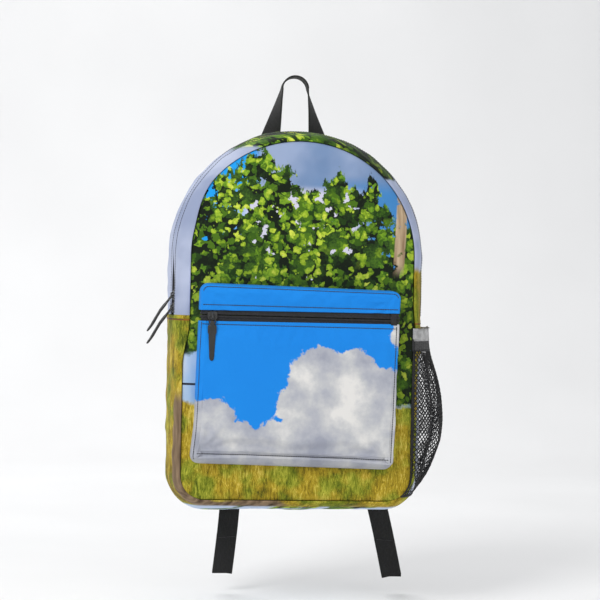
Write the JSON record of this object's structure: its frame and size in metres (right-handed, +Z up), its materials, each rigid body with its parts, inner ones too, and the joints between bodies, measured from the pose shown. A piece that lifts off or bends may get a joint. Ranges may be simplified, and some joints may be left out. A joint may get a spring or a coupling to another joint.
{
  "type": "daypack",
  "caption": "Fabric daypack with an arched zipped compartment, zipped front pocket, mesh side pocket, haul loop and padded adjustable shoulder straps.",
  "frame": {"origin": "the inside top of the haul loop, where it rests on a peg", "axes": "+Z up, +Y towards the wall and the wearer's back, -Y the bag's front; +X to the right of someone who looks at the front"},
  "size_m": [0.3562, 0.1966, 0.6216],
  "materials": {
    "printed_fabric": "printed plain-weave polyester",
    "black_fabric": "plain-weave polyester over foam",
    "black_binding": "grosgrain",
    "zip_tape": "woven tape with a nylon coil",
    "black_webbing": "ribbed polypropylene webbing",
    "black_mesh": "open diamond mesh",
    "slider_metal": "black, semi-gloss",
    "link_steel": "dark nickel",
    "pull_rubber": "moulded, matt",
    "black_plastic": "moulded acetal"
  },
  "bodies": {
    "bag": {"front_panel": "printed_fabric", "back_panel": "black_fabric", "gusset_zip_front": "printed_fabric", "gusset_zip_back": "printed_fabric", "gusset_base": "printed_fabric", "front_seam_binding": "black_binding", "back_seam_binding": "black_binding", "main_zip_stringer_front": "zip_tape", "main_zip_stringer_back": "zip_tape", "front_zip_stringer_upper": "zip_tape", "front_zip_stringer_lower": "zip_tape", "front_pocket_band": "printed_fabric", "front_pocket_bag": "printed_fabric", "front_zip_end_left": "printed_fabric", "front_zip_end_right": "printed_fabric", "mesh_pocket_hem": "printed_fabric", "mesh_pocket_elastic": "black_binding", "mesh_pocket_net": "black_mesh", "haul_loop": "black_webbing", "back_padding": "black_fabric", "strap_yoke": "black_fabric", "laptop_sleeve": "black_fabric", "shoulder_strap_left": "black_fabric", "shoulder_strap_right": "black_fabric", "strap_end_loop_left": "black_webbing", "strap_end_loop_right": "black_webbing", "adjuster_webbing_left": "black_webbing", "adjuster_webbing_right": "black_webbing", "strap_anchor_left": "black_fabric", "strap_anchor_right": "black_fabric"},
    "front_slider": {"front_slider": "slider_metal"},
    "front_pull": {"front_pull_link": "link_steel", "front_pull_tab": "pull_rubber"},
    "upper_slider": {"upper_slider": "slider_metal"},
    "upper_pull": {"upper_pull_link": "link_steel", "upper_pull_tab": "pull_rubber"},
    "lower_slider": {"lower_slider": "slider_metal"},
    "lower_pull": {"lower_pull_link": "link_steel", "lower_pull_tab": "pull_rubber"},
    "ladder_lock_left": {"ladder_lock_left": "black_plastic"},
    "webbing_tail_left": {"webbing_tail_left": "black_webbing"},
    "ladder_lock_right": {"ladder_lock_right": "black_plastic"},
    "webbing_tail_right": {"webbing_tail_right": "black_webbing"}
  },
  "joints": [
    {"name": "front_zip_slide", "type": "slide", "parent": "bag", "child": "front_slider", "axis": [1, 0, 0], "range_m": [0, 0.2]},
    {"name": "front_pull_swing", "type": "hinge", "parent": "front_slider", "child": "front_pull", "pos_m": [-0.102, -0.14635, -0.292], "axis": [-1, 0, 0], "range_deg": [0, 100]},
    {"name": "upper_zip_slide", "type": "slide", "parent": "bag", "child": "upper_slider", "axis": [0, 0, 1], "range_m": [0, 0.042]},
    {"name": "upper_pull_swing", "type": "hinge", "parent": "upper_slider", "child": "upper_pull", "pos_m": [-0.14709, -0.09193, -0.27], "axis": [-0.2137, 0.9769, 0], "range_deg": [0, 80]},
    {"name": "lower_zip_slide", "type": "slide", "parent": "bag", "child": "lower_slider", "axis": [0, 0, 1], "range_m": [-0.0025, 0.003]},
    {"name": "lower_pull_swing", "type": "hinge", "parent": "lower_slider", "child": "lower_pull", "pos_m": [-0.14709, -0.09193, -0.2845], "axis": [-0.2137, 0.9769, 0], "range_deg": [-30, 8]},
    {"name": "ladder_lock_left_tilt", "type": "hinge", "parent": "bag", "child": "ladder_lock_left", "pos_m": [-0.07, 0.023, -0.379], "axis": [1, 0, 0], "range_deg": [0, 35]},
    {"name": "webbing_tail_left_swing", "type": "hinge", "parent": "ladder_lock_left", "child": "webbing_tail_left", "pos_m": [-0.07, 0.023, -0.392], "axis": [1, 0, 0], "range_deg": [0, 60]},
    {"name": "ladder_lock_right_tilt", "type": "hinge", "parent": "bag", "child": "ladder_lock_right", "pos_m": [0.07, 0.023, -0.379], "axis": [1, 0, 0], "range_deg": [0, 35]},
    {"name": "webbing_tail_right_swing", "type": "hinge", "parent": "ladder_lock_right", "child": "webbing_tail_right", "pos_m": [0.07, 0.023, -0.392], "axis": [1, 0, 0], "range_deg": [0, 60]}
  ]
}
